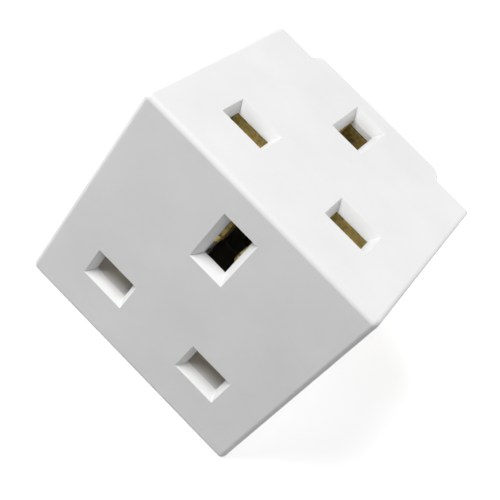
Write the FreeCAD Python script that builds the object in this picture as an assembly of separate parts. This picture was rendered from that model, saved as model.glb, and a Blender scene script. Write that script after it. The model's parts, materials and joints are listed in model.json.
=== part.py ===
import FreeCAD, Part
import math
import os

# Two-way mains adapter: a white cube with one socket in its front and one in its top,
# and a fused plug on its back. Millimetres, +Z up, front face towards -Y, pins towards +Y.
# The origin is the middle of the bottom face.

V = FreeCAD.Vector

# Moulded body
body_width = 47.8
body_depth = 42.3
body_height = 45.2
wall = 2.0
edge_radius = 1.0
inner_corner_radius = 0.6
stop_depth = 4.0
stop_height = 3.2

# Raised plug base on the back
base_rise = 2.7
base_side_margin = 6.9
base_corner_radius = 10.0
base_corner_drop = 7.85
base_bottom_margin = 2.4
base_rim_radius = 1.3
base_foot_radius = 0.9

# Standard thirteen ampere plug and socket sizes
pole_spacing = 22.2
earth_offset = 22.2
pole_pin_width = 6.35
pole_pin_thickness = 3.97
pole_pin_length = 17.7
earth_pin_width = 3.97
earth_pin_thickness = 7.92
earth_pin_length = 22.7
pin_edge_radius = 0.3
pin_tip_chamfer = 1.1
pole_tail = (4.2, 2.4)
earth_tail = (1.9, 4.4)
tail_spread = 0.5
sleeve_length = 8.9
sleeve_wall = 0.6
sleeve_root = 1.0
sleeve_gap = 0.02
fuse_length = 25.4
fuse_diameter = 6.35
fuse_cap_length = 5.6
fuse_cap_wall = 0.25
fuse_cap_chamfer = 0.2
fuse_cap_gap = 0.02

# Where the sockets and the plug lie
front_pole_height = 11.9
top_pole_setback = 13.5
plug_pole_drop = 12.5
fuse_above_earth = 8.4
fuse_cover_gap = 2.15

# Apertures in the two socket faces: mouth, throat and funnel depth
pole_mouth = (8.8, 6.4)
pole_throat = (6.8, 4.6)
earth_mouth = (7.0, 10.9)
earth_throat = (4.6, 8.7)
funnel_depth = 1.3

# Sliding shutters
shutter_clearance = 0.15
shutter_thickness = 4.15
shutter_skin = 1.2
shutter_half_length = 15.2
shutter_low = 3.1
shutter_high = 2.0
ramp_low = 2.5
bridge_half_width = 7.0
bridge_top = 4.5
bridge_thickness = 3.05
spring_seat_level = 0.0
spring_seat_depth = 0.8

# Retainers behind the shutters
plate_gap = 0.3
plate_thickness = 1.4
plate_margin = 0.15
plate_low = 8.5
plate_high = 8.0
rail_high = 6.0
rail_width = 1.4
rail_clearance = 0.25
stem_half_width = 5.0
stem_end = 3.0
stem_window_low = 14.4
tunnel_wall = 1.2
tunnel_depth = 10.5
tunnel_gap = 0.3
shroud_depth = 3.0
face_gap = 0.05
ear_half_height = 3.0
ear_end = 2.3
screw_margin = 4.6
screw_level = 2.0
notch_half_width = 5.2
notch_top = 11.0
bar_top = 14.0

# Sheet metal
strip = 0.8
clip_strip = 0.6
bend_radius = 1.0
fit_gap = 0.1
strip_gap = 0.3
contact_width = 7.2
contact_gap = 4.6
contact_reach = 18.2
leaf_start_gap = 0.1
short_leaf_start = 8.8
leaf_pinch_depth = 3.0
leaf_flare = 0.5
leaf_bow = 0.25
earth_gap = 4.6
earth_web_level = 4.25
earth_pinch = 4.2
earth_leaf_low = 2.2
earth_leaf_corner = 1.8
earth_leaf_bend = 0.2
earth_contact_start = 3.2
earth_contact_reach = 17.0
earth_bend_radius = 0.55
earth_lip_root = 0.4
earth_lip_rise = 0.5
earth_lip_flare = 0.6
earth_lip_width = 3.0
earth_lip_radius = 0.5
earth_rivet_level = 1.4
earth_rivet_inset = 2.6

# Rails between the contacts, the fuse and the pins
rail_strip_width = 6.0
rail_end = 3.0
clip_inset = 2.9
clip_half_width = 2.0
clip_reach = 1.2
clip_fit = 0.08
clip_bend_radius = 0.6
line_arm_margin = 2.3
line_arm_half_height = 2.2
link_outer = 2.4
link_width = 5.6
pin_strip_rise = 2.8
strip_above_fuse = 1.9
neutral_strip_depth = 3.05
crossing_height = 4.0
neutral_arm_margin = 6.6
neutral_tab = 6.0
neutral_drop = 3.4
neutral_slope_setback = 10.8
neutral_turn = 3.0
earth_plate_margin = 2.2
earth_column_setback = 4.75
earth_column_width = 4.4
earth_shoulder = 6.0
earth_slope = 3.8
earth_foot_half_height = 3.1
earth_foot_chamfer = 2.0
earth_foot_tab = 2.5
earth_foot_end = 0.6

# Rivets, screws and their posts
rivet_radius = 0.9
rivet_head_radius = 1.5
rivet_head = 0.4
screw_shank_radius = 1.1
screw_head_radius = 1.9
screw_head_height = 1.1
screw_head_chamfer = 0.35
screw_clearance = 0.2
thread_gap = 0.05
recess_half_width = 1.25
recess_half_slot = 0.25
recess_depth = 0.6
retainer_screw_length = 4.6
cover_screw_length = 5.4
screw_hole_floor = 0.6
post_radius = 2.2

# Back cover
cover_thickness = 2.5
cover_gap = 0.12
pad_depth = 1.65
pad_margin = 1.6
pad_to_carrier = 0.4
cover_screw_margin = 5.7
cover_screw_height = 5.6
cover_post_depth = 8.0

# Fuse carrier
carrier_end = 1.2
carrier_side = 0.08
carrier_recess = 0.2
carrier_start = 1.7
carrier_seat_gap = 0.05
carrier_chamfer = 0.3
cheek_gap = 0.1
cheek_reach = 2.5
cheek_half_height = 2.6
lever_half_width = 3.2
lever_depth = 1.4
lever_height = 0.8
window_half_width = 4.5
window_half_height = 1.6
window_skin = 1.8

# Springs
spring_radius = 1.25
spring_wire = 0.3
spring_turns = 6
spring_end_gap = 0.02
spring_end_pitch = 1.15
spring_wire_sides = 6
peg_length = 1.5

# How far a cutting shape passes a surface, how far fused shapes reach into each other,
# and how near two places are when they count as one
over = 1.0
root = 0.5
near = 1e-4

# Shared places worked out from the sizes above
front_y = -body_depth / 2
back_y = body_depth / 2
base_y = back_y + base_rise
half_width = body_width / 2
inner_half = half_width - wall
pole_x = pole_spacing / 2
top_pole_y = front_y + top_pole_setback
top_earth_y = top_pole_y + earth_offset
front_earth_z = front_pole_height + earth_offset
plug_pole_z = body_height - plug_pole_drop
plug_earth_z = plug_pole_z - earth_offset
cover_inner_y = back_y - cover_thickness
pad_y = cover_inner_y - pad_depth
fuse_r = fuse_diameter / 2
fuse_height = plug_earth_z + fuse_above_earth
fuse_y = cover_inner_y - fuse_cover_gap
fuse_clip_y = fuse_y - fuse_r - fit_gap - clip_strip
clip_x = fuse_length / 2 - clip_inset
clip_plane_y = fuse_clip_y - strip / 2
carrier_half_length = fuse_length / 2 + carrier_end
carrier_half_height = fuse_r + carrier_side
plate_level = wall + shutter_clearance + shutter_thickness + plate_gap
plate_half_width = shutter_half_length + rail_clearance + rail_width + plate_margin
screw_side = half_width - screw_margin
cover_screw_side = half_width - cover_screw_margin
spring_level = wall + shutter_clearance + bridge_thickness / 2
contact_base = contact_reach + strip
rail_y = front_y + contact_base + strip / 2
rail_z = body_height - contact_base - strip / 2
neutral_y = base_y - neutral_strip_depth
neutral_low = fuse_height + fuse_r + strip_above_fuse
neutral_arm_x = half_width - neutral_arm_margin
earth_rivet_depth = earth_contact_reach - earth_rivet_inset
earth_plate_x = earth_gap / 2 + strip


def box(x0, x1, y0, y1, z0, z1):
    """A block between two corners."""
    return Part.makeBox(x1 - x0, y1 - y0, z1 - z0, V(x0, y0, z0))


def mirrored_box(side, inner, outer, y0, y1, z0, z1):
    """A block on one side of the middle plane, between two distances from it."""
    x0, x1 = sorted((side * inner, side * outer))
    return box(x0, x1, y0, y1, z0, z1)


def rod(start, direction, radius, length):
    """A round bar from a point along a direction."""
    return Part.makeCylinder(radius, length, start, direction)


def to_top(shape):
    """Moves a socket piece, modelled face up about its pole line, into the top face."""
    placed = shape.copy()
    placed.translate(V(0, top_pole_y, body_height))
    return placed


def to_front(shape):
    """Turns the same socket piece to look forwards and moves it into the front face."""
    placed = shape.copy()
    placed.rotate(V(0, 0, 0), V(1, 0, 0), 90)
    placed.translate(V(0, front_y, front_pole_height))
    return placed


def rounded_rectangle(width, height, radius, centre_z, y):
    """A rectangle with round corners in the X-Z plane, as a face."""
    low, high = centre_z - height / 2, centre_z + height / 2
    sheet = box(-width / 2, width / 2, y, y + over, low, high)
    corners = [e for e in sheet.Edges if e.BoundBox.YLength > over / 2]
    rounded = sheet.makeFillet(radius, corners)
    return min(rounded.Faces, key=lambda face: face.CenterOfMass.y)


def strip_side(normal, along):
    """The direction from a strip's middle line to its left face."""
    return normal.cross(along)


def bend_points(before, point, after, normal, radius, thickness):
    """The three points of each arc where a strip bends: on its left and on its right."""
    into = (point - before).normalize()
    away = (after - point).normalize()
    reach = radius * math.tan(into.getAngle(away) / 2)
    toward = 1 if strip_side(normal, into).dot(away) > 0 else -1
    centre = point - into * reach + strip_side(normal, into) * (radius * toward)
    middle = (point - centre).normalize()
    arcs = []
    for sign in (1, -1):
        bend = radius - toward * sign * thickness / 2
        arcs.append([centre - strip_side(normal, into) * (toward * bend), centre + middle * bend,
                     centre - strip_side(normal, away) * (toward * bend)])
    return arcs


def strip_edge(groups):
    """Joins a strip's end points and arcs into one run of edges."""
    edges = []
    last = None
    for group in groups:
        if last is not None:
            edges.append(Part.makeLine(last, group[0]))
        if len(group) == 3:
            edges.append(Part.Arc(*group).toShape())
        last = group[-1]
    return edges


def folded_strip(path, lift, width, thickness=strip, radius=bend_radius):
    """Bends a strip along a flat path and gives it its width along lift."""
    normal = V(*lift)
    points = [V(*p) for p in path]
    first = strip_side(normal, (points[1] - points[0]).normalize()) * (thickness / 2)
    last = strip_side(normal, (points[-1] - points[-2]).normalize()) * (thickness / 2)
    left, right = [[points[0] + first]], [[points[0] - first]]
    for before, point, after in zip(points, points[1:], points[2:]):
        left_arc, right_arc = bend_points(before, point, after, normal, radius, thickness)
        left.append(left_arc)
        right.append(right_arc)
    left.append([points[-1] + last])
    right.append([points[-1] - last])
    edges = strip_edge(left) + [Part.makeLine(left[-1][0], right[-1][0])]
    edges += strip_edge(right) + [Part.makeLine(right[0][0], left[0][0])]
    outline = Part.Wire(Part.__sortEdges__(edges))
    return Part.Face(outline).extrude(normal * width)


def flat_plate(outline, x, thickness):
    """A stamped plate square to X, from its outline in Y and Z."""
    points = [V(x, y, z) for y, z in outline]
    return Part.Face(Part.makePolygon(points + [points[0]])).extrude(V(thickness, 0, 0))


def level_rectangle(size, x, y, z):
    """A level rectangle about a point, as a closed outline."""
    corners = ((-1, -1), (1, -1), (1, 1), (-1, 1), (-1, -1))
    return Part.makePolygon([V(x + sx * size[0] / 2, y + sy * size[1] / 2, z) for sx, sy in corners])


def funnel(mouth, throat, x, y, depth):
    """The hollow of one aperture, narrowing inwards from a face at local zero."""
    taper = Part.makeLoft([level_rectangle(mouth, x, y, 0),
                           level_rectangle(throat, x, y, -funnel_depth)], True, True)
    straight = box(x - throat[0] / 2, x + throat[0] / 2, y - throat[1] / 2, y + throat[1] / 2,
                   -depth, -funnel_depth)
    return taper.fuse(straight).removeSplitter()


def socket_apertures():
    """The three hollows of a socket, about its pole line."""
    depth = wall + root
    hollows = [funnel(pole_mouth, pole_throat, side * pole_x, 0, depth) for side in (-1, 1)]
    hollows.append(funnel(earth_mouth, earth_throat, 0, earth_offset, depth))
    return Part.makeCompound(hollows)


def level_edges(shape, y):
    """The edges of a shape that lie wholly in one plane square to Y."""
    return [e for e in shape.Edges if abs(e.BoundBox.YMin - y) < near
            and abs(e.BoundBox.YMax - y) < near]


def plug_base_form():
    """The raised pad on the back, with a round rim and a flared foot, cut by the top face."""
    flat_top = body_height - base_corner_drop + base_corner_radius
    low = base_bottom_margin
    width = 2 * (half_width - base_side_margin + base_rim_radius)
    outline = rounded_rectangle(width, flat_top + base_rim_radius - low,
                                base_corner_radius + base_rim_radius,
                                (flat_top + base_rim_radius + low) / 2, back_y - wall)
    pad = outline.extrude(V(0, wall + base_rise, 0))
    sheet = box(-body_width, body_width, back_y - wall, back_y, -body_height, 2 * body_height)
    form = sheet.fuse(pad).removeSplitter()
    form = form.makeFillet(base_rim_radius, level_edges(form, base_y))
    foot = [e for e in level_edges(form, back_y)
            if max(abs(e.BoundBox.XMin), abs(e.BoundBox.XMax)) < half_width
            and e.BoundBox.ZMin > 0]
    form = form.makeFillet(base_foot_radius, foot)
    return form.common(box(-half_width, half_width, back_y - wall / 2, base_y + over, 0,
                           body_height))


def outer_form():
    """The whole outside of the body with the plug base, before it is hollowed."""
    block = box(-half_width, half_width, front_y, back_y, 0, body_height)
    rounded = [e for e in block.Edges if e.BoundBox.YMin < back_y - near]
    block = block.makeFillet(edge_radius, rounded)
    back = max(block.Faces, key=lambda face: face.CenterOfMass.y)
    behind = Part.Face(back.OuterWire).extrude(V(0, base_rise, 0))
    sides = block.common(box(-half_width, half_width, back_y - wall, back_y, 0, body_height))
    pad = plug_base_form().common(behind.fuse(sides))
    return block.fuse(pad).removeSplitter()


def cover_region(gap):
    """The opening in the back that the cover fills, less a gap all round."""
    region = box(-inner_half + gap, inner_half - gap, cover_inner_y, base_y + over,
                 wall + gap, body_height - wall - gap)
    corners = [e for e in region.Edges if e.BoundBox.YLength > cover_thickness]
    return region.makeFillet(inner_corner_radius, corners)


def cover_post(side):
    """A screw post in a lower back corner, tied to the side wall and to the floor."""
    x = side * cover_screw_side
    start = back_y - cover_post_depth
    post = rod(V(x, start, cover_screw_height), V(0, 1, 0), post_radius, cover_inner_y - start)
    rib = mirrored_box(side, cover_screw_side, inner_half + root, start, cover_inner_y,
                       cover_screw_height - wall / 2, cover_screw_height + wall / 2)
    floor_rib = box(x - wall / 2, x + wall / 2, start, cover_inner_y, wall - root,
                    cover_screw_height)
    hole = rod(V(x, start + screw_hole_floor, cover_screw_height), V(0, 1, 0),
               screw_shank_radius, cover_post_depth)
    return post.fuse([rib, floor_rib]), hole


def retainer_posts():
    """Two screw posts behind a socket face, about its pole line."""
    posts, holes = [], []
    for side in (-1, 1):
        x = side * screw_side
        posts.append(rod(V(x, screw_level, -plate_level), V(0, 0, 1), post_radius,
                         plate_level - wall + root))
        holes.append(rod(V(x, screw_level, -plate_level - over), V(0, 0, 1), screw_shank_radius,
                         plate_level + over - wall - screw_hole_floor))
    return Part.makeCompound(posts), Part.makeCompound(holes)


def spring_pegs():
    """Small pegs that keep the two springs in place: on the floor and on the front wall."""
    peg_radius = spring_radius - spring_wire / 2 - fit_gap
    length = peg_length + root
    floor_peg = rod(V(0, front_y + spring_level, wall - root), V(0, 0, 1), peg_radius, length)
    wall_peg = rod(V(0, front_y + wall - root, body_height - spring_level), V(0, 1, 0),
                   peg_radius, length)
    return [floor_peg, wall_peg]


def earth_shroud():
    """A short wall behind a socket face, past the far end of the earth slot."""
    return box(-earth_plate_x, earth_plate_x, earth_offset + earth_throat[1] / 2,
               earth_offset + earth_web_level + strip, -shroud_depth, root - wall)


def cover_stop(side):
    """A block under the top wall that the cover's upper corner rests against."""
    return mirrored_box(side, plate_half_width, inner_half + root, cover_inner_y - stop_depth,
                        cover_inner_y, body_height - wall - stop_height,
                        body_height - wall + root)


def make_housing():
    """The moulded body: front, top, bottom and sides in one piece, open at the back."""
    hollow = box(-inner_half, inner_half, front_y + wall, base_y + over, wall,
                 body_height - wall)
    corners = [e for e in hollow.Edges if e.BoundBox.YMin < front_y + wall + near]
    shell = outer_form().cut(hollow.makeFillet(inner_corner_radius, corners))
    shell = shell.cut(box(-half_width, half_width, back_y, base_y + over, -over,
                          body_height - wall))
    added, taken = spring_pegs(), [to_top(socket_apertures()), to_front(socket_apertures())]
    for side in (-1, 1):
        post, hole = cover_post(side)
        added += [post, cover_stop(side)]
        taken.append(hole)
    posts, holes = retainer_posts()
    added += [to_top(posts), to_front(posts), to_top(earth_shroud()), to_front(earth_shroud())]
    taken += [to_top(holes), to_front(holes)]
    for solid in added:
        for piece in solid.Solids:
            shell = shell.fuse(piece)
    for solid in taken:
        shell = shell.cut(solid)
    return shell.removeSplitter()


def carrier_slot():
    """The slot through the cover for the fuse carrier, with a gap all round."""
    half_long = carrier_half_length + fit_gap
    half_high = carrier_half_height + fit_gap
    return box(-half_long, half_long, pad_y - over, base_y + over, fuse_height - half_high,
               fuse_height + half_high)


def pin_slot(x, z, width, height):
    """A rectangular hole right through the cover for one pin."""
    half_wide, half_high = (width + fit_gap) / 2, (height + fit_gap) / 2
    return box(x - half_wide, x + half_wide, pad_y - over, base_y + over, z - half_high,
               z + half_high)


def cover_pads():
    """The thicker places behind the line pin and the earth pin."""
    half_wide = pole_pin_width / 2 + pad_margin
    half_high = pole_pin_thickness / 2 + pad_margin
    line_pad = box(-pole_x - half_wide, -pole_x + half_wide, pad_y, cover_inner_y + root,
                   plug_pole_z - half_high, plug_pole_z + half_high)
    half_wide = earth_pin_width / 2 + pad_margin
    low = max(plug_earth_z - earth_pin_thickness / 2 - pad_margin, wall + cover_gap)
    earth_pad = box(-half_wide, half_wide, pad_y, cover_inner_y + root, low,
                    fuse_height - fuse_r - pad_to_carrier)
    return [line_pad, earth_pad]


def neutral_pocket():
    """The hollow inside the cover for the crossing neutral strip and its end on the pin."""
    deep = neutral_y + strip / 2
    half_strip = rail_strip_width / 2 + strip_gap
    crossing = box(-neutral_arm_x - strip / 2 - strip_gap, pole_x + half_strip,
                   cover_inner_y - over, deep, neutral_low - strip_gap,
                   neutral_low + crossing_height + strip_gap)
    end = box(pole_x - half_strip, pole_x + half_strip, cover_inner_y - over, deep, neutral_low,
              plug_pole_z + pin_strip_rise + strip_gap)
    return crossing.fuse(end)


def make_back_cover():
    """The plug base: an inset plate with pin slots, pads, a fuse slot and a strip pocket."""
    cover = outer_form().common(cover_region(cover_gap)).fuse(cover_pads())
    half_web = earth_plate_x + strip_gap
    taken = [pin_slot(side * pole_x, plug_pole_z, pole_pin_width, pole_pin_thickness)
             for side in (-1, 1)]
    taken += [pin_slot(0, plug_earth_z, earth_pin_width, earth_pin_thickness),
              carrier_slot(), neutral_pocket(),
              box(-half_web, half_web, cover_inner_y - over,
                  top_earth_y + earth_web_level + strip + strip_gap,
                  body_height - earth_contact_reach - strip_gap, body_height)]
    for side in (-1, 1):
        x = side * cover_screw_side
        taken.append(rod(V(x, cover_inner_y - over, cover_screw_height), V(0, 1, 0),
                         screw_shank_radius + screw_clearance, base_y))
        taken.append(rod(V(x, back_y - screw_head_height, cover_screw_height), V(0, 1, 0),
                         screw_head_radius + screw_clearance, base_y))
    for solid in taken:
        cover = cover.cut(solid)
    return cover.removeSplitter()


def pin_shank(x, z, width, height, length, shoulder_y):
    """The bar of a pin with bevelled tip edges and eased long edges."""
    tip = base_y + length
    shank = box(x - width / 2, x + width / 2, shoulder_y, tip, z - height / 2, z + height / 2)
    shank = shank.makeChamfer(pin_tip_chamfer, level_edges(shank, tip))
    long_edges = [e for e in shank.Edges if e.BoundBox.YLength > length
                  and e.BoundBox.XLength < near and e.BoundBox.ZLength < near]
    return shank.makeFillet(pin_edge_radius, long_edges)


def pin_tail(x, z, tail_size, shoulder_y):
    """The tail that goes through a strip, and its spread end behind it."""
    half_wide, half_high = tail_size[0] / 2, tail_size[1] / 2
    behind = shoulder_y - strip
    tail = box(x - half_wide, x + half_wide, behind - rivet_head, shoulder_y + root,
               z - half_high, z + half_high)
    half_wide += tail_spread
    half_high += tail_spread
    head = box(x - half_wide, x + half_wide, behind - rivet_head, behind, z - half_high,
               z + half_high)
    return [tail, head]


def sleeve_hollow(x, gap, start, stop):
    """The inside of a live pin's sleeve."""
    half_wide = pole_pin_width / 2 - sleeve_wall + gap
    half_high = pole_pin_thickness / 2 - sleeve_wall + gap
    return box(x - half_wide, x + half_wide, start, stop, plug_pole_z - half_high,
               plug_pole_z + half_high)


def make_pole_pin(x, shoulder_y):
    """A live pin, necked where its sleeve lies."""
    shank = pin_shank(x, plug_pole_z, pole_pin_width, pole_pin_thickness, pole_pin_length,
                      shoulder_y)
    start, stop = base_y - sleeve_root, base_y + sleeve_length
    ring = box(x - pole_pin_width, x + pole_pin_width, start, stop,
               plug_pole_z - pole_pin_width, plug_pole_z + pole_pin_width)
    shank = shank.cut(ring.cut(sleeve_hollow(x, 0, start, stop)))
    return shank.fuse(pin_tail(x, plug_pole_z, pole_tail, shoulder_y)).removeSplitter()


def make_earth_pin():
    """The longer, thicker earth pin."""
    shank = pin_shank(0, plug_earth_z, earth_pin_width, earth_pin_thickness, earth_pin_length,
                      pad_y)
    return shank.fuse(pin_tail(0, plug_earth_z, earth_tail, pad_y)).removeSplitter()


def tail_hole(x, z, tail_size, y):
    """The hole for a pin's tail in a strip at one depth."""
    half_wide, half_high = (tail_size[0] + fit_gap) / 2, (tail_size[1] + fit_gap) / 2
    return box(x - half_wide, x + half_wide, y - over, y + over, z - half_high, z + half_high)


def make_sleeve(x):
    """The insulating sleeve on the inner half of a live pin."""
    start = base_y - sleeve_root + sleeve_gap
    stop = base_y + sleeve_length - sleeve_gap
    outer = box(x - pole_pin_width / 2, x + pole_pin_width / 2, start, stop,
                plug_pole_z - pole_pin_thickness / 2, plug_pole_z + pole_pin_thickness / 2)
    long_edges = [e for e in outer.Edges if e.BoundBox.YLength > sleeve_length]
    outer = outer.makeFillet(pin_edge_radius, long_edges)
    return outer.cut(sleeve_hollow(x, sleeve_gap, start - over, stop + over))


def make_pole_contact():
    """A folded spring contact for one live or neutral way, about its own middle."""
    leaf = (contact_gap + strip) / 2
    deep = -contact_reach - strip / 2
    x = -contact_width / 2
    path = [(x, leaf, -wall - leaf_start_gap), (x, leaf, deep), (x, -leaf, deep),
            (x, -leaf + leaf_bow, -short_leaf_start - leaf_pinch_depth),
            (x, -leaf - leaf_flare, -short_leaf_start)]
    contact = folded_strip(path, (1, 0, 0), contact_width)
    return contact.cut(rivet_hole(V(0, 0, deep), V(0, 0, 1)))


def make_earth_contact():
    """The three-sided earth contact, open towards the poles, about the pole line."""
    leaf = (earth_gap + strip) / 2
    tip = (earth_pinch + strip) / 2
    web = earth_web_level + strip / 2
    low, bend = -earth_leaf_low, earth_leaf_bend
    deep, start = -earth_contact_reach, -earth_contact_start
    path = [(-tip, low, deep), (-leaf, bend, deep), (-leaf, web, deep), (leaf, web, deep),
            (leaf, bend, deep), (tip, low, deep)]
    contact = folded_strip(path, (0, 0, 1), start - deep, strip, earth_bend_radius)
    for side in (-1, 1):
        lip = [(side * leaf, bend, start - earth_lip_root), (side * leaf, bend, start),
               (side * (leaf + earth_lip_flare), bend, start + earth_lip_rise)]
        contact = contact.fuse(folded_strip(lip, (0, 1, 0), earth_lip_width, strip,
                                            earth_lip_radius))
    corner = [(low - over, start + over), (low + earth_leaf_corner + over, start + over),
              (low - over, start - earth_leaf_corner - over)]
    contact = contact.cut(flat_plate(corner, -leaf - strip, 2 * (leaf + strip)))
    contact = contact.cut(rivet_hole(V(leaf, earth_rivet_level, -earth_rivet_depth), V(1, 0, 0)))
    contact.translate(V(0, earth_offset, 0))
    return contact.removeSplitter()


def shutter_ramp(side):
    """One end of a shutter: a block with a hollow curve that a pin rides up and pushes aside."""
    face = -wall - shutter_clearance
    back = face - shutter_thickness
    radius = shutter_thickness - shutter_skin
    turn = radius * math.sqrt(0.5)
    start, end = V(0, -ramp_low, face), V(0, radius - ramp_low, back + shutter_skin)
    middle = V(0, start.y + radius - turn, face - turn)
    corners = [end, V(0, shutter_high, end.z), V(0, shutter_high, back),
               V(0, -shutter_low, back), V(0, -shutter_low, face), start]
    edges = [Part.Arc(start, middle, end).toShape()]
    edges += [Part.makeLine(first, second) for first, second in zip(corners, corners[1:])]
    length = shutter_half_length - bridge_half_width + root
    block = Part.Face(Part.Wire(edges)).extrude(V(length, 0, 0))
    block.translate(V(min(side * (bridge_half_width - root), side * shutter_half_length), 0, 0))
    return block


def make_shutter():
    """A sprung slide that closes both pole ways, with a ramp for each pin."""
    face = -wall - shutter_clearance
    bridge = box(-bridge_half_width, bridge_half_width, spring_seat_level, bridge_top,
                 face - bridge_thickness, face)
    seat = rod(V(0, spring_seat_level - over, -spring_level), V(0, 1, 0),
               spring_radius + spring_wire / 2 + fit_gap, over + spring_seat_depth)
    return bridge.fuse([shutter_ramp(-1), shutter_ramp(1)]).cut(seat).removeSplitter()


def retainer_plate(notched, front, back):
    """The flat part of a retainer and its stem, notched where the front socket passes."""
    top = bar_top if notched else plate_high
    plate = box(-plate_half_width, plate_half_width, -plate_low, top, back, front)
    stem = box(-stem_half_width, stem_half_width, 0, earth_offset + stem_end, back, front)
    if notched:
        plate = plate.cut(box(-notch_half_width, notch_half_width, -plate_low - over, notch_top,
                              back - over, front + over))
        stem = stem.cut(box(-stem_half_width - over, stem_half_width + over, -over, notch_top,
                            back - over, front + over))
    return [plate, stem]


def retainer_walls(front, back):
    """The guides beside the shutter, the ears for the screws and the earth tunnel's walls."""
    lip = -wall - face_gap
    inner = shutter_half_length + rail_clearance
    slot_half = earth_gap / 2 + face_gap
    slot_low = earth_offset - earth_throat[1] / 2
    slot_high = earth_offset - earth_leaf_low - tunnel_gap
    pieces = []
    for side in (-1, 1):
        pieces.append(mirrored_box(side, inner, inner + rail_width, -plate_low, rail_high,
                                   front - root, lip))
        pieces.append(mirrored_box(side, plate_half_width - root, screw_side + ear_end,
                                   screw_level - ear_half_height, screw_level + ear_half_height,
                                   back, front))
        pieces.append(mirrored_box(side, slot_half, slot_half + tunnel_wall,
                                   slot_low - tunnel_wall, slot_high, -tunnel_depth, lip))
    return pieces


def make_retainer(notched):
    """The plate behind a shutter: guides its ends, guides the pins and holds the contacts."""
    front = -plate_level
    back = front - plate_thickness
    low, high = back - over, front + over
    plate, stem = retainer_plate(notched, front, back)
    retainer = plate.fuse([stem] + retainer_walls(front, back))
    half_contact = contact_width / 2 + fit_gap
    half_web = earth_plate_x + fit_gap
    half_slot = earth_gap / 2 + face_gap
    taken = [box(-half_web, half_web, earth_offset - earth_leaf_low - tunnel_gap,
                 earth_offset + earth_web_level + strip + tunnel_gap, low, high),
             box(-half_slot, half_slot, stem_window_low, earth_offset, low, high)]
    for side in (-1, 1):
        x = side * pole_x
        taken.append(box(x - half_contact, x + half_contact, -contact_gap / 2 - fit_gap,
                         contact_gap / 2 + strip + fit_gap, low, high))
        taken.append(rod(V(side * screw_side, screw_level, low), V(0, 0, 1),
                         screw_shank_radius + screw_clearance, high - low))
    for solid in taken:
        retainer = retainer.cut(solid)
    return retainer.removeSplitter()


def screw(start, direction, length):
    """A pan head screw, its head standing on a start point and its shank going along."""
    body = rod(V(0, 0, 0), V(0, 0, 1), screw_head_radius, screw_head_height)
    crown = [e for e in body.Edges if e.BoundBox.ZMin > screw_head_height - near]
    body = body.makeChamfer(screw_head_chamfer, crown)
    body = body.fuse(rod(V(0, 0, 0), V(0, 0, -1), screw_shank_radius - thread_gap, length))
    for wide, tall in ((recess_half_width, recess_half_slot),
                       (recess_half_slot, recess_half_width)):
        body = body.cut(box(-wide, wide, -tall, tall, screw_head_height - recess_depth,
                            screw_head_height + over))
    body.Placement = FreeCAD.Placement(start, FreeCAD.Rotation(V(0, 0, -1), direction))
    return body


def rivet_hole(middle, direction):
    """The hole for a rivet through strips whose middle is near a point."""
    return rod(middle - direction * over, direction, rivet_radius + fit_gap / 2, 2 * over)


def rivet(middle, direction, grip, head_near=True, head_far=True):
    """A rivet through two strips: a shank of the grip's length and flat heads."""
    start = middle - direction * (grip / 2)
    end = middle + direction * (grip / 2)
    solid = rod(start, direction, rivet_radius, grip)
    if head_near:
        solid = solid.fuse(rod(start, direction * -1, rivet_head_radius, rivet_head))
    if head_far:
        solid = solid.fuse(rod(end, direction, rivet_head_radius, rivet_head))
    return solid.removeSplitter()


def pole_rivet_places(side):
    """Where a rail is riveted to its front and its top contact."""
    x = side * pole_x
    return [(V(x, rail_y - strip / 2, front_pole_height), V(0, 1, 0)),
            (V(x, top_pole_y, rail_z + strip / 2), V(0, 0, 1))]


def pole_rail(side):
    """The upright strip of a rail with its turned top, on one side."""
    x = side * pole_x - rail_strip_width / 2
    path = [(x, rail_y, front_pole_height - rail_end), (x, rail_y, rail_z),
            (x, top_pole_y - rail_end, rail_z)]
    rail = folded_strip(path, (1, 0, 0), rail_strip_width)
    for middle, direction in pole_rivet_places(side):
        rail = rail.cut(rivet_hole(middle, direction))
    return rail


def clip_rivet_place(side):
    """Where a fuse clip is riveted to its strip."""
    return V(side * clip_x, fuse_clip_y + (clip_strip - strip) / 2, fuse_height)


def make_line_rail():
    """The line rail: strip behind both contacts, and an arm to the fuse clip."""
    low = fuse_height - line_arm_half_height
    arm_x = fuse_length / 2 + line_arm_margin
    path = [(pole_x, rail_y, low), (arm_x, rail_y, low), (arm_x, clip_plane_y, low),
            (clip_x - clip_half_width, clip_plane_y, low)]
    arm = folded_strip(path, (0, 0, 1), 2 * line_arm_half_height)
    rail = pole_rail(1).fuse(arm)
    return rail.cut(rivet_hole(clip_rivet_place(1), V(0, 1, 0))).removeSplitter()


def make_fuse_clip(side):
    """A clip that takes one end of the fuse, open towards the back."""
    arm = fuse_r + clip_fit + clip_strip / 2
    x = side * clip_x - clip_half_width
    base = fuse_clip_y + clip_strip / 2
    tip = fuse_y + clip_reach
    path = [(x, tip, fuse_height + arm), (x, base, fuse_height + arm),
            (x, base, fuse_height - arm), (x, tip, fuse_height - arm)]
    clip = folded_strip(path, (1, 0, 0), 2 * clip_half_width, clip_strip, clip_bend_radius)
    return clip.cut(rivet_hole(clip_rivet_place(side), V(0, 1, 0)))


def make_line_link():
    """The strip from the line pin to the supply clip of the fuse."""
    y = pad_y - strip / 2
    x = -pole_x - link_outer
    path = [(x, y, plug_pole_z + pin_strip_rise), (x, y, neutral_low),
            (x, clip_plane_y, neutral_low),
            (x, clip_plane_y, fuse_height - line_arm_half_height)]
    link = folded_strip(path, (1, 0, 0), link_width)
    link = link.cut(tail_hole(-pole_x, plug_pole_z, pole_tail, y))
    return link.cut(rivet_hole(clip_rivet_place(-1), V(0, 1, 0)))


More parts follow.
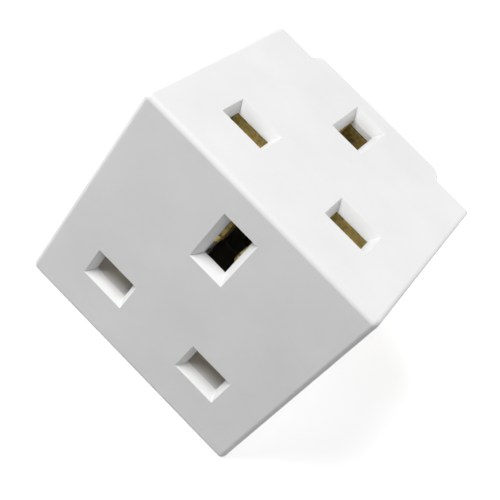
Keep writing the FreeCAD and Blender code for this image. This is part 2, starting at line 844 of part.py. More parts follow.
def neutral_side_plate():
    """The stepped side plate that joins the neutral crossing to the strip behind it."""
    high = neutral_low + crossing_height
    behind = neutral_y - neutral_tab + root
    slope = neutral_y - neutral_slope_setback
    ahead = rail_y + neutral_turn
    outline = [(behind, neutral_low), (behind, high), (slope, high),
               (slope - neutral_drop, high - neutral_drop), (ahead, high - neutral_drop),
               (ahead, neutral_low - neutral_drop), (slope, neutral_low - neutral_drop),
               (slope + neutral_drop, neutral_low)]
    return flat_plate(outline, -neutral_arm_x - strip / 2, strip)


def make_neutral_rail():
    """The neutral rail: strip behind both contacts, side arm, and the crossing to its pin."""
    half_strip = rail_strip_width / 2
    turn_low = neutral_low - neutral_drop
    crossing = folded_strip([(pole_x + half_strip, neutral_y, neutral_low),
                             (-neutral_arm_x, neutral_y, neutral_low),
                             (-neutral_arm_x, neutral_y - neutral_tab, neutral_low)],
                            (0, 0, 1), crossing_height)
    end = box(pole_x - half_strip, pole_x + half_strip, neutral_y - strip / 2,
              neutral_y + strip / 2, neutral_low, plug_pole_z + pin_strip_rise)
    turn = folded_strip([(-neutral_arm_x, rail_y + neutral_turn + root, turn_low),
                         (-neutral_arm_x, rail_y, turn_low), (-pole_x, rail_y, turn_low)],
                        (0, 0, 1), crossing_height)
    rail = pole_rail(-1).fuse([crossing, end, neutral_side_plate(), turn])
    return rail.cut(tail_hole(pole_x, plug_pole_z, pole_tail, neutral_y)).removeSplitter()


def earth_rivet_places():
    """Middles of the two rivets between the earth contacts and the earth plate."""
    return [V(earth_plate_x, front_y + earth_rivet_depth, front_earth_z + earth_rivet_level),
            V(earth_plate_x, top_earth_y + earth_rivet_level, body_height - earth_rivet_depth)]


def earth_plate_outline(foot_y):
    """The outline of the earth plate in Y and Z, past both rivets and down to the foot."""
    front_rivet, top_rivet = earth_rivet_places()
    margin = earth_plate_margin
    back = top_earth_y - earth_column_setback
    ahead = back - earth_column_width
    foot_low = plug_earth_z - earth_foot_half_height
    foot_high = plug_earth_z + earth_foot_half_height
    return [(front_rivet.y - margin, front_rivet.z - margin),
            (front_rivet.y - margin, front_rivet.z + margin),
            (front_rivet.y + earth_shoulder, front_rivet.z + margin),
            (back, top_rivet.z + margin), (top_rivet.y + margin, top_rivet.z + margin),
            (top_rivet.y + margin, top_rivet.z - margin), (back, top_rivet.z - margin),
            (back, foot_high), (foot_y, foot_high), (foot_y, foot_low),
            (ahead + earth_foot_chamfer, foot_low), (ahead, foot_low + earth_foot_chamfer),
            (ahead, front_rivet.z - margin - earth_slope),
            (ahead - earth_slope, front_rivet.z - margin)]


def make_earth_rail():
    """The stamped earth plate beside both earth contacts, with a foot on the earth pin."""
    foot_y = pad_y - strip / 2
    middle_x = earth_plate_x + strip / 2
    foot_low = plug_earth_z - earth_foot_half_height
    plate = flat_plate(earth_plate_outline(foot_y - bend_radius - strip / 2), earth_plate_x,
                       strip)
    foot = folded_strip([(middle_x, foot_y - earth_foot_tab, foot_low),
                         (middle_x, foot_y, foot_low),
                         (-earth_pin_width / 2 - earth_foot_end, foot_y, foot_low)],
                        (0, 0, 1), 2 * earth_foot_half_height)
    rail = plate.fuse(foot).cut(tail_hole(0, plug_earth_z, earth_tail, foot_y))
    for middle in earth_rivet_places():
        rail = rail.cut(rivet_hole(middle, V(1, 0, 0)))
    return rail.removeSplitter()


def make_rivets():
    """All the rivets as one group."""
    rivets = []
    for side in (-1, 1):
        for middle, direction in pole_rivet_places(side):
            rivets.append(rivet(middle, direction, 2 * strip))
        rivets.append(rivet(clip_rivet_place(side), V(0, 1, 0), strip + clip_strip, True, False))
    for middle in earth_rivet_places():
        rivets.append(rivet(middle, V(1, 0, 0), 2 * strip, False, True))
    return Part.makeCompound(rivets)


def make_fuse_tube():
    """The ceramic tube of the fuse."""
    return rod(V(-fuse_length / 2 + fuse_cap_wall, fuse_y, fuse_height), V(1, 0, 0),
               fuse_r - fuse_cap_wall - fuse_cap_gap, fuse_length - 2 * fuse_cap_wall)


def make_fuse_caps():
    """The two metal caps on the fuse."""
    half_hollow = fuse_length / 2 - fuse_cap_wall + fuse_cap_gap
    hollow = rod(V(-half_hollow, fuse_y, fuse_height), V(1, 0, 0), fuse_r - fuse_cap_wall,
                 2 * half_hollow)
    caps = []
    for side in (-1, 1):
        end = V(side * fuse_length / 2, fuse_y, fuse_height)
        cap = rod(end, V(-side, 0, 0), fuse_r, fuse_cap_length)
        rim = [e for e in cap.Edges if abs(e.BoundBox.XMin - end.x) < near
               and abs(e.BoundBox.XMax - end.x) < near]
        caps.append(cap.makeChamfer(fuse_cap_chamfer, rim).cut(hollow))
    return Part.makeCompound(caps)


def make_fuse_carrier():
    """The slide that carries the fuse out through the back, with a slot to lever it by."""
    half_long, half_high = carrier_half_length, carrier_half_height
    face = base_y - carrier_recess
    start = fuse_y + carrier_start
    block = box(-half_long, half_long, start, face, fuse_height - half_high,
                fuse_height + half_high)
    block = block.makeChamfer(carrier_chamfer, level_edges(block, face))
    seat_half = fuse_length / 2 + carrier_seat_gap
    carrier = block.cut(rod(V(-seat_half, fuse_y, fuse_height), V(1, 0, 0),
                            fuse_r + carrier_seat_gap, 2 * seat_half))
    for side in (-1, 1):
        carrier = carrier.fuse(mirrored_box(side, fuse_length / 2 + cheek_gap, half_long,
                                            fuse_y - cheek_reach, start + root,
                                            fuse_height - cheek_half_height,
                                            fuse_height + cheek_half_height))
    lever_high = fuse_height + half_high - lever_height
    lever = box(-lever_half_width, lever_half_width, base_y - lever_depth, base_y,
                lever_high - lever_height, lever_high)
    window = box(-window_half_width, window_half_width, start - over, base_y - window_skin,
                 fuse_height - window_half_height, fuse_height + window_half_height)
    return carrier.cut(lever).cut(window).removeSplitter()


def coil_height(turns, rise):
    """How high a spring's wire has risen after some turns; its end turns lie close."""
    end_rise = spring_wire * spring_end_pitch
    open_turns = spring_turns - 2
    open_share = min(max(turns - 1, 0), open_turns) / open_turns
    return end_rise * (min(turns, 1) + max(turns - 1 - open_turns, 0)) \
        + (rise - 2 * end_rise) * open_share


def make_spring(length):
    """A compression spring along +Z from the origin."""
    steps = 12
    points = []
    for step in range(spring_turns * steps + 1):
        angle = 2 * math.pi * step / steps
        points.append(V(spring_radius * math.cos(angle), spring_radius * math.sin(angle),
                        coil_height(step / steps, length - spring_wire) + spring_wire / 2))
    coil = Part.BSplineCurve()
    coil.interpolate(points)
    along = coil.tangent(0)[0]
    outward = V(1, 0, 0)
    upward = along.cross(outward).normalize()
    corners = []
    for corner in range(spring_wire_sides + 1):
        angle = 2 * math.pi * (corner + 0.5) / spring_wire_sides
        corners.append(points[0] + (outward * math.cos(angle) + upward * math.sin(angle))
                       * (spring_wire / 2))
    section = Part.makePolygon(corners)
    return Part.Wire(coil.toShape()).makePipeShell([section], True, True)


def front_spring():
    """The spring below the front shutter, standing on the floor."""
    start = wall + spring_end_gap
    seat = front_pole_height + spring_seat_level + spring_seat_depth
    spring = make_spring(seat - start - spring_end_gap)
    spring.translate(V(0, front_y + spring_level, start))
    return spring


def top_spring():
    """The spring in front of the top shutter, against the front wall."""
    start = front_y + wall + spring_end_gap
    seat = top_pole_y + spring_seat_level + spring_seat_depth
    spring = make_spring(seat - start - spring_end_gap)
    spring.rotate(V(0, 0, 0), V(1, 0, 0), -90)
    spring.translate(V(0, start, body_height - spring_level))
    return spring


def retainer_screws():
    """The four screws that hold the retainers to their posts."""
    screws = []
    for side in (-1, 1):
        start = V(side * screw_side, screw_level, -plate_level - plate_thickness)
        fastener = screw(start, V(0, 0, 1), retainer_screw_length)
        screws += [to_top(fastener), to_front(fastener)]
    return Part.makeCompound(screws)


def cover_screws():
    """The two screws through the back cover."""
    starts = [V(side * cover_screw_side, back_y - screw_head_height, cover_screw_height)
              for side in (-1, 1)]
    return Part.makeCompound([screw(start, V(0, -1, 0), cover_screw_length) for start in starts])


def all_parts():
    """Every node with its shape."""
    contact = make_pole_contact()
    earth_contact = make_earth_contact()
    parts = {
        "housing": make_housing(),
        "back_cover": make_back_cover(),
        "line_pin": make_pole_pin(-pole_x, pad_y),
        "neutral_pin": make_pole_pin(pole_x, neutral_y + strip / 2),
        "earth_pin": make_earth_pin(),
        "line_pin_sleeve": make_sleeve(-pole_x),
        "neutral_pin_sleeve": make_sleeve(pole_x),
        "line_rail": make_line_rail(),
        "neutral_rail": make_neutral_rail(),
        "earth_rail": make_earth_rail(),
        "line_link": make_line_link(),
        "supply_fuse_clip": make_fuse_clip(-1),
        "load_fuse_clip": make_fuse_clip(1),
        "fuse_tube": make_fuse_tube(),
        "fuse_caps": make_fuse_caps(),
        "fuse_carrier": make_fuse_carrier(),
        "front_shutter": to_front(make_shutter()),
        "top_shutter": to_top(make_shutter()),
        "front_shutter_spring": front_spring(),
        "top_shutter_spring": top_spring(),
        "front_retainer": to_front(make_retainer(False)),
        "top_retainer": to_top(make_retainer(True)),
        "front_earth_contact": to_front(earth_contact),
        "top_earth_contact": to_top(earth_contact),
        "rail_rivets": make_rivets(),
        "retainer_screws": retainer_screws(),
        "cover_screws": cover_screws(),
    }
    for name, side in (("line", 1), ("neutral", -1)):
        placed = contact.copy()
        placed.translate(V(side * pole_x, 0, 0))
        parts["front_" + name + "_contact"] = to_front(placed)
        parts["top_" + name + "_contact"] = to_top(placed)
    return parts


os.makedirs("parts", exist_ok=True)
for node, shape in all_parts().items():
    shape.exportStep("parts/" + node + ".step")
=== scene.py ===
import json
import math

import bmesh
import bpy
from mathutils import Matrix, Vector


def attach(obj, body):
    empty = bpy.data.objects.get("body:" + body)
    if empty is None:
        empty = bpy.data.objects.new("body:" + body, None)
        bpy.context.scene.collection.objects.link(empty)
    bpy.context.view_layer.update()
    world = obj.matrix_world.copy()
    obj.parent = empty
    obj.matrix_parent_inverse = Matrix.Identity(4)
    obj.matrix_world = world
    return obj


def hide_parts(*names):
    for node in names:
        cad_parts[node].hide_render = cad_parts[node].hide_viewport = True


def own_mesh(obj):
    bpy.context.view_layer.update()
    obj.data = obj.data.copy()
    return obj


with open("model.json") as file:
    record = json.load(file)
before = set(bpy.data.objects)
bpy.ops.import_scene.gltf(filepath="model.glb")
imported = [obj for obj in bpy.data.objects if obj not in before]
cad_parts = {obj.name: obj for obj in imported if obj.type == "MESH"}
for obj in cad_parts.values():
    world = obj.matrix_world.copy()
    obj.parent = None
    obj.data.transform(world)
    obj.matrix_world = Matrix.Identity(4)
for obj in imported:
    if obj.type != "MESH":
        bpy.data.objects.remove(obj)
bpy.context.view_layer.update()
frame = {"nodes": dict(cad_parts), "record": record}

# Looks of a white cube adapter with two mains sockets. Everything is in metres.

mm = 0.001
nodeBody = {node: body for body, nodes in frame["record"]["behaviour"]["bodies"].items() for node in nodes}
nodeSlot = {part["node"]: part["material_slot"] for part in frame["record"]["subparts"]}


# Shader helpers

def newMaterial(name):
    material = bpy.data.materials.new(name)
    material.use_nodes = True
    tree = material.node_tree
    shader = tree.nodes["Principled BSDF"]
    return material, tree, shader


def addNode(tree, kind, **sockets):
    node = tree.nodes.new(kind)
    for name, value in sockets.items():
        node.inputs[name.replace("_", " ")].default_value = value
    return node


def objectPlace(tree, scale=(1, 1, 1)):
    # object coordinates, stretched where a finish has a direction
    place = tree.nodes.new("ShaderNodeTexCoord")
    stretch = tree.nodes.new("ShaderNodeMapping")
    stretch.inputs["Scale"].default_value = scale
    tree.links.new(place.outputs["Object"], stretch.inputs["Vector"])
    return stretch.outputs["Vector"]


def noise(tree, vector, scale, detail, roughness):
    node = addNode(tree, "ShaderNodeTexNoise", Scale=scale, Detail=detail, Roughness=roughness)
    tree.links.new(vector, node.inputs["Vector"])
    return node.outputs["Fac"]


def spread(tree, value, low, high, fromLow=0.3, fromHigh=0.7):
    # carries a noise value into a range
    node = tree.nodes.new("ShaderNodeMapRange")
    node.inputs["From Min"].default_value = fromLow
    node.inputs["From Max"].default_value = fromHigh
    node.inputs["To Min"].default_value = low
    node.inputs["To Max"].default_value = high
    tree.links.new(value, node.inputs["Value"])
    return node.outputs["Result"]


def blendColours(tree, value, first, second):
    node = tree.nodes.new("ShaderNodeMix")
    node.data_type = "RGBA"
    node.inputs["A"].default_value = (*first, 1)
    node.inputs["B"].default_value = (*second, 1)
    tree.links.new(value, node.inputs["Factor"])
    return node.outputs["Result"]


def addBumps(tree, shader, layers):
    # layers are (height value, strength, distance), the broadest first
    normal = None
    for height, strength, distance in layers:
        bump = addNode(tree, "ShaderNodeBump", Strength=strength, Distance=distance)
        tree.links.new(height, bump.inputs["Height"])
        if normal is not None:
            tree.links.new(normal, bump.inputs["Normal"])
        normal = bump.outputs["Normal"]
    tree.links.new(normal, shader.inputs["Normal"])


# Moulded white plastic

bodyPlastic = {"light": (0.868, 0.869, 0.866), "shade": (0.822, 0.824, 0.822), "rough": (0.50, 0.60),
               "cloud": 85.0, "grain": 5200.0, "wave": 110.0, "gloss": 0.32}
innerPlastic = {"light": (0.85, 0.85, 0.835), "shade": (0.80, 0.80, 0.785), "rough": (0.48, 0.6),
                "cloud": 160.0, "grain": 4200.0, "wave": 300.0, "gloss": 0.35}
shutterPlastic = {"light": (0.84, 0.84, 0.84), "shade": (0.79, 0.79, 0.79), "rough": (0.38, 0.5),
                  "cloud": 160.0, "grain": 4800.0, "wave": 260.0, "gloss": 0.4}
# Detail and roughness of each noise, strength and height of each bump
plasticNoise = {"cloud": (4.0, 0.55), "grain": (2.0, 0.6), "wave": (1.0, 0.4)}
plasticBumps = {"wave": (0.25, 0.06 * mm), "grain": (0.22, 0.012 * mm)}
plasticScatter = {"weight": 0.06, "radius": (1.0, 0.95, 0.85), "scale": 1.0 * mm}


def mouldedPlastic(name, look):
    material, tree, shader = newMaterial(name)
    place = objectPlace(tree)
    cloud = noise(tree, place, look["cloud"], *plasticNoise["cloud"])
    grain = noise(tree, place, look["grain"], *plasticNoise["grain"])
    wave = noise(tree, place, look["wave"], *plasticNoise["wave"])
    tint = blendColours(tree, spread(tree, cloud, 0.0, 1.0), look["light"], look["shade"])
    tree.links.new(tint, shader.inputs["Base Color"])
    tree.links.new(spread(tree, grain, *look["rough"]), shader.inputs["Roughness"])
    shader.inputs["Specular IOR Level"].default_value = look["gloss"]
    shader.inputs["Subsurface Weight"].default_value = plasticScatter["weight"]
    shader.inputs["Subsurface Radius"].default_value = plasticScatter["radius"]
    shader.inputs["Subsurface Scale"].default_value = plasticScatter["scale"]
    addBumps(tree, shader, [(wave, *plasticBumps["wave"]), (grain, *plasticBumps["grain"])])
    return material


# Black insulating sleeve

sleevePlastic = {"light": (0.035, 0.035, 0.038), "shade": (0.018, 0.018, 0.02), "rough": (0.38, 0.55),
                 "grain": 3600.0, "scuff": 900.0, "stretch": (1, 0.12, 1),
                 "grainNoise": (2.0, 0.5), "scuffNoise": (4.0, 0.6),
                 "scuffBump": (0.15, 0.03 * mm), "grainBump": (0.2, 0.01 * mm)}


def sleeveMaterial(name, look):
    material, tree, shader = newMaterial(name)
    place = objectPlace(tree)
    along = objectPlace(tree, look["stretch"])
    grain = noise(tree, place, look["grain"], *look["grainNoise"])
    scuff = noise(tree, along, look["scuff"], *look["scuffNoise"])
    tint = blendColours(tree, spread(tree, scuff, 0, 1), look["shade"], look["light"])
    tree.links.new(tint, shader.inputs["Base Color"])
    tree.links.new(spread(tree, grain, *look["rough"]), shader.inputs["Roughness"])
    addBumps(tree, shader, [(scuff, *look["scuffBump"]), (grain, *look["grainBump"])])
    return material


# Brass, drawn or rolled

pinBrass = {"bright": (0.80, 0.62, 0.29), "dull": (0.56, 0.40, 0.17), "rough": (0.20, 0.34),
            "stretch": (1, 0.05, 1), "line": 2600.0, "stain": 190.0, "dent": 700.0}
stripBrass = {"bright": (0.74, 0.57, 0.27), "dull": (0.47, 0.33, 0.14), "rough": (0.28, 0.46),
              "stretch": (1, 0.1, 0.1), "line": 3000.0, "stain": 260.0, "dent": 800.0}
contactBrass = {"bright": (0.57, 0.44, 0.155), "dull": (0.25, 0.20, 0.075), "rough": (0.52, 0.70),
                "stretch": (1, 0.3, 0.3), "line": 2800.0, "stain": 1500.0, "dent": 1500.0}
rivetBrass = {"bright": (0.76, 0.60, 0.30), "dull": (0.50, 0.36, 0.16), "rough": (0.25, 0.42),
              "stretch": (1, 1, 1), "line": 2200.0, "stain": 300.0, "dent": 1200.0}
clipMetal = {"bright": (0.78, 0.66, 0.40), "dull": (0.55, 0.44, 0.24), "rough": (0.28, 0.42),
             "stretch": (1, 0.1, 0.1), "line": 3000.0, "stain": 260.0, "dent": 800.0}
# Detail and roughness of each noise, strength and height of each bump, where stains begin and end
metalNoise = {"stain": (5.0, 0.6), "line": (3.0, 0.6), "dent": (2.0, 0.5)}
metalBumps = {"dent": (0.12, 0.03 * mm), "line": (0.25, 0.008 * mm)}
stainRange = (0.38, 0.72)


def metalMaterial(name, look):
    material, tree, shader = newMaterial(name)
    place = objectPlace(tree)
    along = objectPlace(tree, look["stretch"])
    stain = noise(tree, place, look["stain"], *metalNoise["stain"])
    line = noise(tree, along, look["line"], *metalNoise["line"])
    dent = noise(tree, place, look["dent"], *metalNoise["dent"])
    tint = blendColours(tree, spread(tree, stain, 0, 1, *stainRange), look["bright"], look["dull"])
    tree.links.new(tint, shader.inputs["Base Color"])
    tree.links.new(spread(tree, line, *look["rough"]), shader.inputs["Roughness"])
    shader.inputs["Metallic"].default_value = 1.0
    addBumps(tree, shader, [(dent, *metalBumps["dent"]), (line, *metalBumps["line"])])
    return material


# Plated steel, spring wire and the fuse

screwSteel = {"bright": (0.66, 0.67, 0.68), "dull": (0.46, 0.47, 0.48), "rough": (0.24, 0.4),
              "stretch": (1, 1, 1), "line": 2600.0, "stain": 420.0, "dent": 1400.0}
springSteel = {"bright": (0.52, 0.52, 0.54), "dull": (0.30, 0.30, 0.32), "rough": (0.22, 0.36),
               "stretch": (1, 1, 1), "line": 4200.0, "stain": 700.0, "dent": 2600.0}
capMetal = {"bright": (0.76, 0.75, 0.72), "dull": (0.58, 0.57, 0.54), "rough": (0.18, 0.3),
            "stretch": (0.08, 1, 1), "line": 2600.0, "stain": 240.0, "dent": 1000.0}
fuseCeramic = {"light": (0.78, 0.74, 0.64), "shade": (0.66, 0.61, 0.50), "rough": (0.6, 0.75),
               "cloud": 420.0, "grain": 3800.0, "wave": 500.0, "gloss": 0.3}

print("finishes")
materials = {
    "body_plastic": mouldedPlastic("bodyPlastic", bodyPlastic),
    "inner_plastic": mouldedPlastic("innerPlastic", innerPlastic),
    "shutter_plastic": mouldedPlastic("shutterPlastic", shutterPlastic),
    "sleeve_plastic": sleeveMaterial("sleevePlastic", sleevePlastic),
    "pin_brass": metalMaterial("pinBrass", pinBrass),
    "strip_brass": metalMaterial("stripBrass", stripBrass),
    "contact_brass": metalMaterial("contactBrass", contactBrass),
    "rivet_brass": metalMaterial("rivetBrass", rivetBrass),
    "clip_metal": metalMaterial("clipMetal", clipMetal),
    "screw_steel": metalMaterial("screwSteel", screwSteel),
    "spring_steel": metalMaterial("springSteel", springSteel),
    "fuse_cap_metal": metalMaterial("capMetal", capMetal),
    "fuse_ceramic": mouldedPlastic("fuseCeramic", fuseCeramic),
}
for node, obj in frame["nodes"].items():
    obj.data.materials.clear()
    obj.data.materials.append(materials[nodeSlot[node]])


# Softened edges: a CAD piece with the small rounds that moulding and stamping leave

# Angles in degrees: flat is what counts as one face, sharpest the least corner that is rounded
softening = {"merge": 0.002 * mm, "flat": 0.6, "sharpest": 28.0, "segments": 2, "profile": 0.5,
             "faceCorners": 4, "weight": 90}


def softenPiece(node, width, sharpest=softening["sharpest"], reshape=None):
    mesh = bpy.data.meshes.new(node + "Soft")
    work = bmesh.new()
    work.from_mesh(frame["nodes"][node].data)
    bmesh.ops.remove_doubles(work, verts=work.verts, dist=softening["merge"])
    if reshape is not None:
        reshape(work)
    flat = math.radians(softening["flat"])
    bmesh.ops.dissolve_limit(work, angle_limit=flat, verts=work.verts, edges=work.edges)
    corners = [e for e in work.edges if len(e.link_faces) == 2
               and e.calc_face_angle(0.0) > math.radians(sharpest)]
    bmesh.ops.bevel(work, geom=corners, offset=width, offset_type="OFFSET", affect="EDGES",
                    segments=softening["segments"], profile=softening["profile"], material=-1,
                    clamp_overlap=True)
    bmesh.ops.triangulate(work, faces=[f for f in work.faces if len(f.verts) > softening["faceCorners"]])
    for face in work.faces:
        face.smooth = True
    work.to_mesh(mesh)
    work.free()
    piece = bpy.data.objects.new(node + "_soft", mesh)
    bpy.context.scene.collection.objects.link(piece)
    weigh = piece.modifiers.new("weigh", "WEIGHTED_NORMAL")
    weigh.keep_sharp = False
    weigh.weight = softening["weight"]
    mesh.materials.append(materials[nodeSlot[node]])
    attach(piece, nodeBody[node])
    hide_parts(node)
    return piece


# Each socket face: its inward direction, its direction towards the earth, and the middle of its pole line
socketFaces = {
    "front": (Vector((0, 1, 0)), Vector((0, 0, 1)), Vector((0, -21.15 * mm, 11.9 * mm))),
    "top": (Vector((0, 0, -1)), Vector((0, 1, 0)), Vector((0, -7.65 * mm, 45.2 * mm))),
}


# Housing: the funnel of each mouth runs in almost to the inner face of the wall

mouths = {"funnelDepth": 1.3 * mm, "newDepth": 1.85 * mm, "halfWidth": 15.0 * mm,
          "low": -3.0 * mm, "high": 28.0 * mm, "edge": 0.18 * mm}


def deepenMouths(look):
    def reshape(work):
        near = 0.03 * mm
        for vert in work.verts:
            for inward, upward, start in socketFaces.values():
                place = vert.co - start
                onThroat = abs(place.dot(inward) - look["funnelDepth"]) < near
                inRow = abs(vert.co.x) < look["halfWidth"]
                if onThroat and inRow and look["low"] < place.dot(upward) < look["high"]:
                    vert.co += inward * (look["newDepth"] - look["funnelDepth"])
    return reshape


print("housing")
softenPiece("housing", mouths["edge"], reshape=deepenMouths(mouths))


# Back cover and fuse carrier: only their edges are rounded

softEdges = {"back_cover": 0.15 * mm, "fuse_carrier": 0.12 * mm}

print("back pieces")
for node, width in softEdges.items():
    softenPiece(node, width)


# Front earth contact: its lips sit low and narrow, and its web starts further in,
# so the way above them is dark

earthLeaf = {"centre": 22.2 * mm, "start": 3.2 * mm, "lipEnd": 3.7 * mm, "bend": 0.2 * mm, "lipTop": 3.2 * mm,
             "newBend": -2.0 * mm, "newTop": -0.6 * mm, "corner": -0.4 * mm, "newCorner": -2.1 * mm,
             "webSetback": 4.0 * mm, "pinchEnd": 5.1 * mm, "pinch": 0.5 * mm, "edge": 0.05 * mm}


def lowerLips(inward, upward, start, look):
    def reshape(work):
        near = 0.08 * mm
        squeeze = (look["newTop"] - look["newBend"]) / (look["lipTop"] - look["bend"])
        for vert in work.verts:
            deep = (vert.co - start).dot(inward)
            up = (vert.co - start).dot(upward) - look["centre"]
            atStart = abs(deep - look["start"]) < near
            onLip = deep < look["lipEnd"] and look["bend"] - near < up < look["lipTop"] + near
            if atStart and up > look["lipTop"] + near:
                vert.co += inward * look["webSetback"]
            elif atStart and abs(up - look["corner"]) < near:
                vert.co += upward * (look["newCorner"] - up)
            elif onLip or abs(up - look["bend"]) < near:
                vert.co += upward * (look["newBend"] + (up - look["bend"]) * squeeze - up)
            if deep < look["pinchEnd"] and up < look["lipTop"] + near:
                vert.co.x -= math.copysign(look["pinch"], vert.co.x)
    return reshape


print("front earth contact")
softenPiece("front_earth_contact", earthLeaf["edge"], reshape=lowerLips(*socketFaces["front"], earthLeaf))


# Shutters: the hollow ramp of the solid starts flatter and ends in a short riser, further in

shutterRamp = {"faceDepth": 2.15 * mm, "low": -2.5 * mm, "radius": 2.95 * mm, "rise": 0.7 * mm,
               "reach": 3.6 * mm, "edge": 0.06 * mm}


def flattenRamps(inward, upward, start, look):
    def reshape(work):
        near = 0.03 * mm
        for vert in work.verts:
            place = vert.co - start
            up = place.dot(upward) - look["low"]
            deep = place.dot(inward) - look["faceDepth"]
            offCurve = abs(math.hypot(up - look["radius"], deep) - look["radius"])
            onCurve = offCurve < near and deep > near and up < look["radius"] - near
            onRiser = abs(deep - look["radius"]) < near and up > look["radius"] - near
            if onCurve:
                vert.co += upward * (look["rise"] * (deep / look["radius"]) ** 2 - up)
            if onCurve or onRiser:
                vert.co += inward * deep * (look["reach"] / look["radius"] - 1)
    return reshape


print("shutters")
for name, (inward, upward, start) in socketFaces.items():
    ramp = flattenRamps(inward, upward, start, shutterRamp)
    softenPiece(name + "_shutter", shutterRamp["edge"], reshape=ramp)


# Retainers: the window in each stem reaches further down, so that no edge of it shows

stemWindow = {"low": 14.4 * mm, "newLow": 12.4 * mm, "halfWidth": 2.4 * mm, "edge": 0.08 * mm}


def lowerWindow(upward, start, look):
    def reshape(work):
        near = 0.03 * mm
        for vert in work.verts:
            up = (vert.co - start).dot(upward)
            if abs(up - look["low"]) < near and abs(vert.co.x) < look["halfWidth"]:
                vert.co += upward * (look["newLow"] - up)
    return reshape


print("retainers")
for name, (_, upward, start) in socketFaces.items():
    window = lowerWindow(upward, start, stemWindow)
    softenPiece(name + "_retainer", stemWindow["edge"], reshape=window)


# Springs: each coil gets a softened copy with a mesh of its own

springEnd = {"edge": 0.03 * mm, "sharpest": 60.0}    # only the cut ends of the wire are sharp
springs = {
    "front": {"axis": Vector((0, 0, 1)), "foot": Vector((0, 0, 2.0 * mm))},
    "top": {"axis": Vector((0, 1, 0)), "foot": Vector((0, -19.15 * mm, 0))},
}

print("springs")
for name, look in springs.items():
    node = name + "_shutter_spring"
    coil = softenPiece(node, springEnd["edge"], sharpest=springEnd["sharpest"])
    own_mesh(coil)


# Floor, lights and camera

studio = {"floorHalf": 0.45, "floorSeen": (1.0, 1.0, 1.0), "floorGlow": 0.5, "farGlow": 1.0,
          "nearRange": 0.10, "farRange": 0.35, "floorRough": 0.8, "floorGloss": 0.2,
          "floorLight": (0.33, 0.33, 0.33), "skyColour": (1, 1, 1), "skyLight": 0.10}
lampAim = (0, 0, 0.03)
lamps = {
    "key": {"place": (-0.27, -0.195, 0.44), "size": 0.30, "watts": 2.56},
    "side": {"place": (-0.28, -0.11, 0.07), "size": 0.12, "watts": 0.20},
    "fill": {"place": (0.30, -0.13, 0.30), "size": 0.20, "watts": 0.28},
    "back": {"place": (0.15, 0.38, 0.11), "size": 0.30, "watts": 0.95},
}
photoCamera = {"place": (0.01135, -0.12450, 0.12375), "aim": (0.00131, -0.00092, 0.02137),
               "roll": -42.44, "lens": 65.33, "sensor": 36.0, "clipStart": 0.005}


def seenDirectly(tree):
    # one for what the camera, a reflection or a clear body shows, zero for light on the object
    path = tree.nodes.new("ShaderNodeLightPath")
    either = tree.nodes.new("ShaderNodeMath")
    either.operation = "MAXIMUM"
    both = tree.nodes.new("ShaderNodeMath")
    both.operation = "MAXIMUM"
    tree.links.new(path.outputs["Is Camera Ray"], either.inputs[0])
    tree.links.new(path.outputs["Is Glossy Ray"], either.inputs[1])
    tree.links.new(either.outputs[0], both.inputs[0])
    tree.links.new(path.outputs["Is Transmission Ray"], both.inputs[1])
    return both.outputs[0]


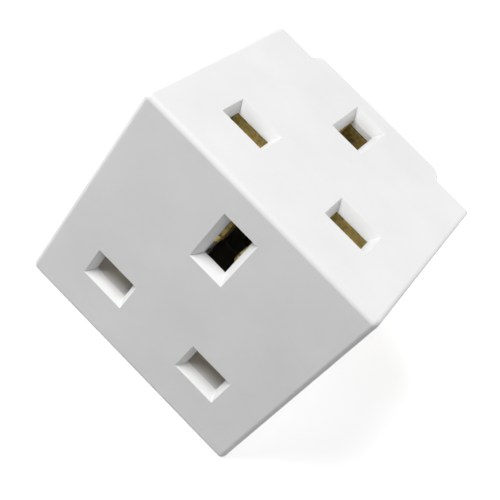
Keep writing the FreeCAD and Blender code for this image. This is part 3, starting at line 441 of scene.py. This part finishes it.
def makeFloor(look):
    work = bmesh.new()
    bmesh.ops.create_grid(work, x_segments=1, y_segments=1, size=look["floorHalf"])
    mesh = bpy.data.meshes.new("floor")
    work.to_mesh(mesh)
    work.free()
    floor = bpy.data.objects.new("floor", mesh)
    bpy.context.scene.collection.objects.link(floor)
    material, tree, shader = newMaterial("floorPaper")
    seen = seenDirectly(tree)
    tint = blendColours(tree, seen, look["floorLight"], look["floorSeen"])
    distance = tree.nodes.new("ShaderNodeVectorMath")    # the paper stays white beyond the lamps' reach
    distance.operation = "LENGTH"
    tree.links.new(objectPlace(tree), distance.inputs[0])
    glow = spread(tree, distance.outputs["Value"], look["floorGlow"], look["farGlow"],
                  look["nearRange"], look["farRange"])
    seenGlow = tree.nodes.new("ShaderNodeMath")
    seenGlow.operation = "MULTIPLY"
    tree.links.new(seen, seenGlow.inputs[0])
    tree.links.new(glow, seenGlow.inputs[1])
    tree.links.new(tint, shader.inputs["Base Color"])
    shader.inputs["Emission Color"].default_value = (*look["floorSeen"], 1)
    tree.links.new(seenGlow.outputs[0], shader.inputs["Emission Strength"])
    shader.inputs["Roughness"].default_value = look["floorRough"]
    shader.inputs["Specular IOR Level"].default_value = look["floorGloss"]
    mesh.materials.append(material)


def whiteSky(look):
    world = bpy.data.worlds.new("studioSky")
    world.use_nodes = True
    bpy.context.scene.world = world
    tree = world.node_tree
    light = tree.nodes["Background"]
    light.inputs["Color"].default_value = (*look["skyColour"], 1)
    light.inputs["Strength"].default_value = look["skyLight"]
    seen = addNode(tree, "ShaderNodeBackground", Strength=1.0)
    seen.inputs["Color"].default_value = (*look["skyColour"], 1)
    mix = tree.nodes.new("ShaderNodeMixShader")
    tree.links.new(seenDirectly(tree), mix.inputs[0])
    tree.links.new(light.outputs[0], mix.inputs[1])
    tree.links.new(seen.outputs[0], mix.inputs[2])
    tree.links.new(mix.outputs[0], tree.nodes["World Output"].inputs["Surface"])


def addLamp(name, look, aim):
    light = bpy.data.lights.new(name, "AREA")
    light.shape = "DISK"
    light.size = look["size"]
    light.energy = look["watts"]
    lamp = bpy.data.objects.new(name, light)
    place = Vector(look["place"])
    lamp.location = place
    lamp.rotation_euler = (Vector(aim) - place).to_track_quat("-Z", "Y").to_euler()
    bpy.context.scene.collection.objects.link(lamp)


def addCamera(look):
    lens = bpy.data.cameras.new("photoCamera")
    lens.lens = look["lens"]
    lens.sensor_width = look["sensor"]
    lens.clip_start = look["clipStart"]
    camera = bpy.data.objects.new("photoCamera", lens)
    place = Vector(look["place"])
    upright = (Vector(look["aim"]) - place).to_track_quat("-Z", "Y")
    turned = upright.to_matrix().to_4x4() @ Matrix.Rotation(-math.radians(look["roll"]), 4, "Z")
    camera.matrix_world = Matrix.Translation(place) @ turned
    bpy.context.scene.collection.objects.link(camera)
    bpy.context.scene.camera = camera


print("studio")
makeFloor(studio)
whiteSky(studio)
for name, look in lamps.items():
    addLamp(name, look, lampAim)
addCamera(photoCamera)
bpy.context.scene.view_settings.view_transform = "Standard"
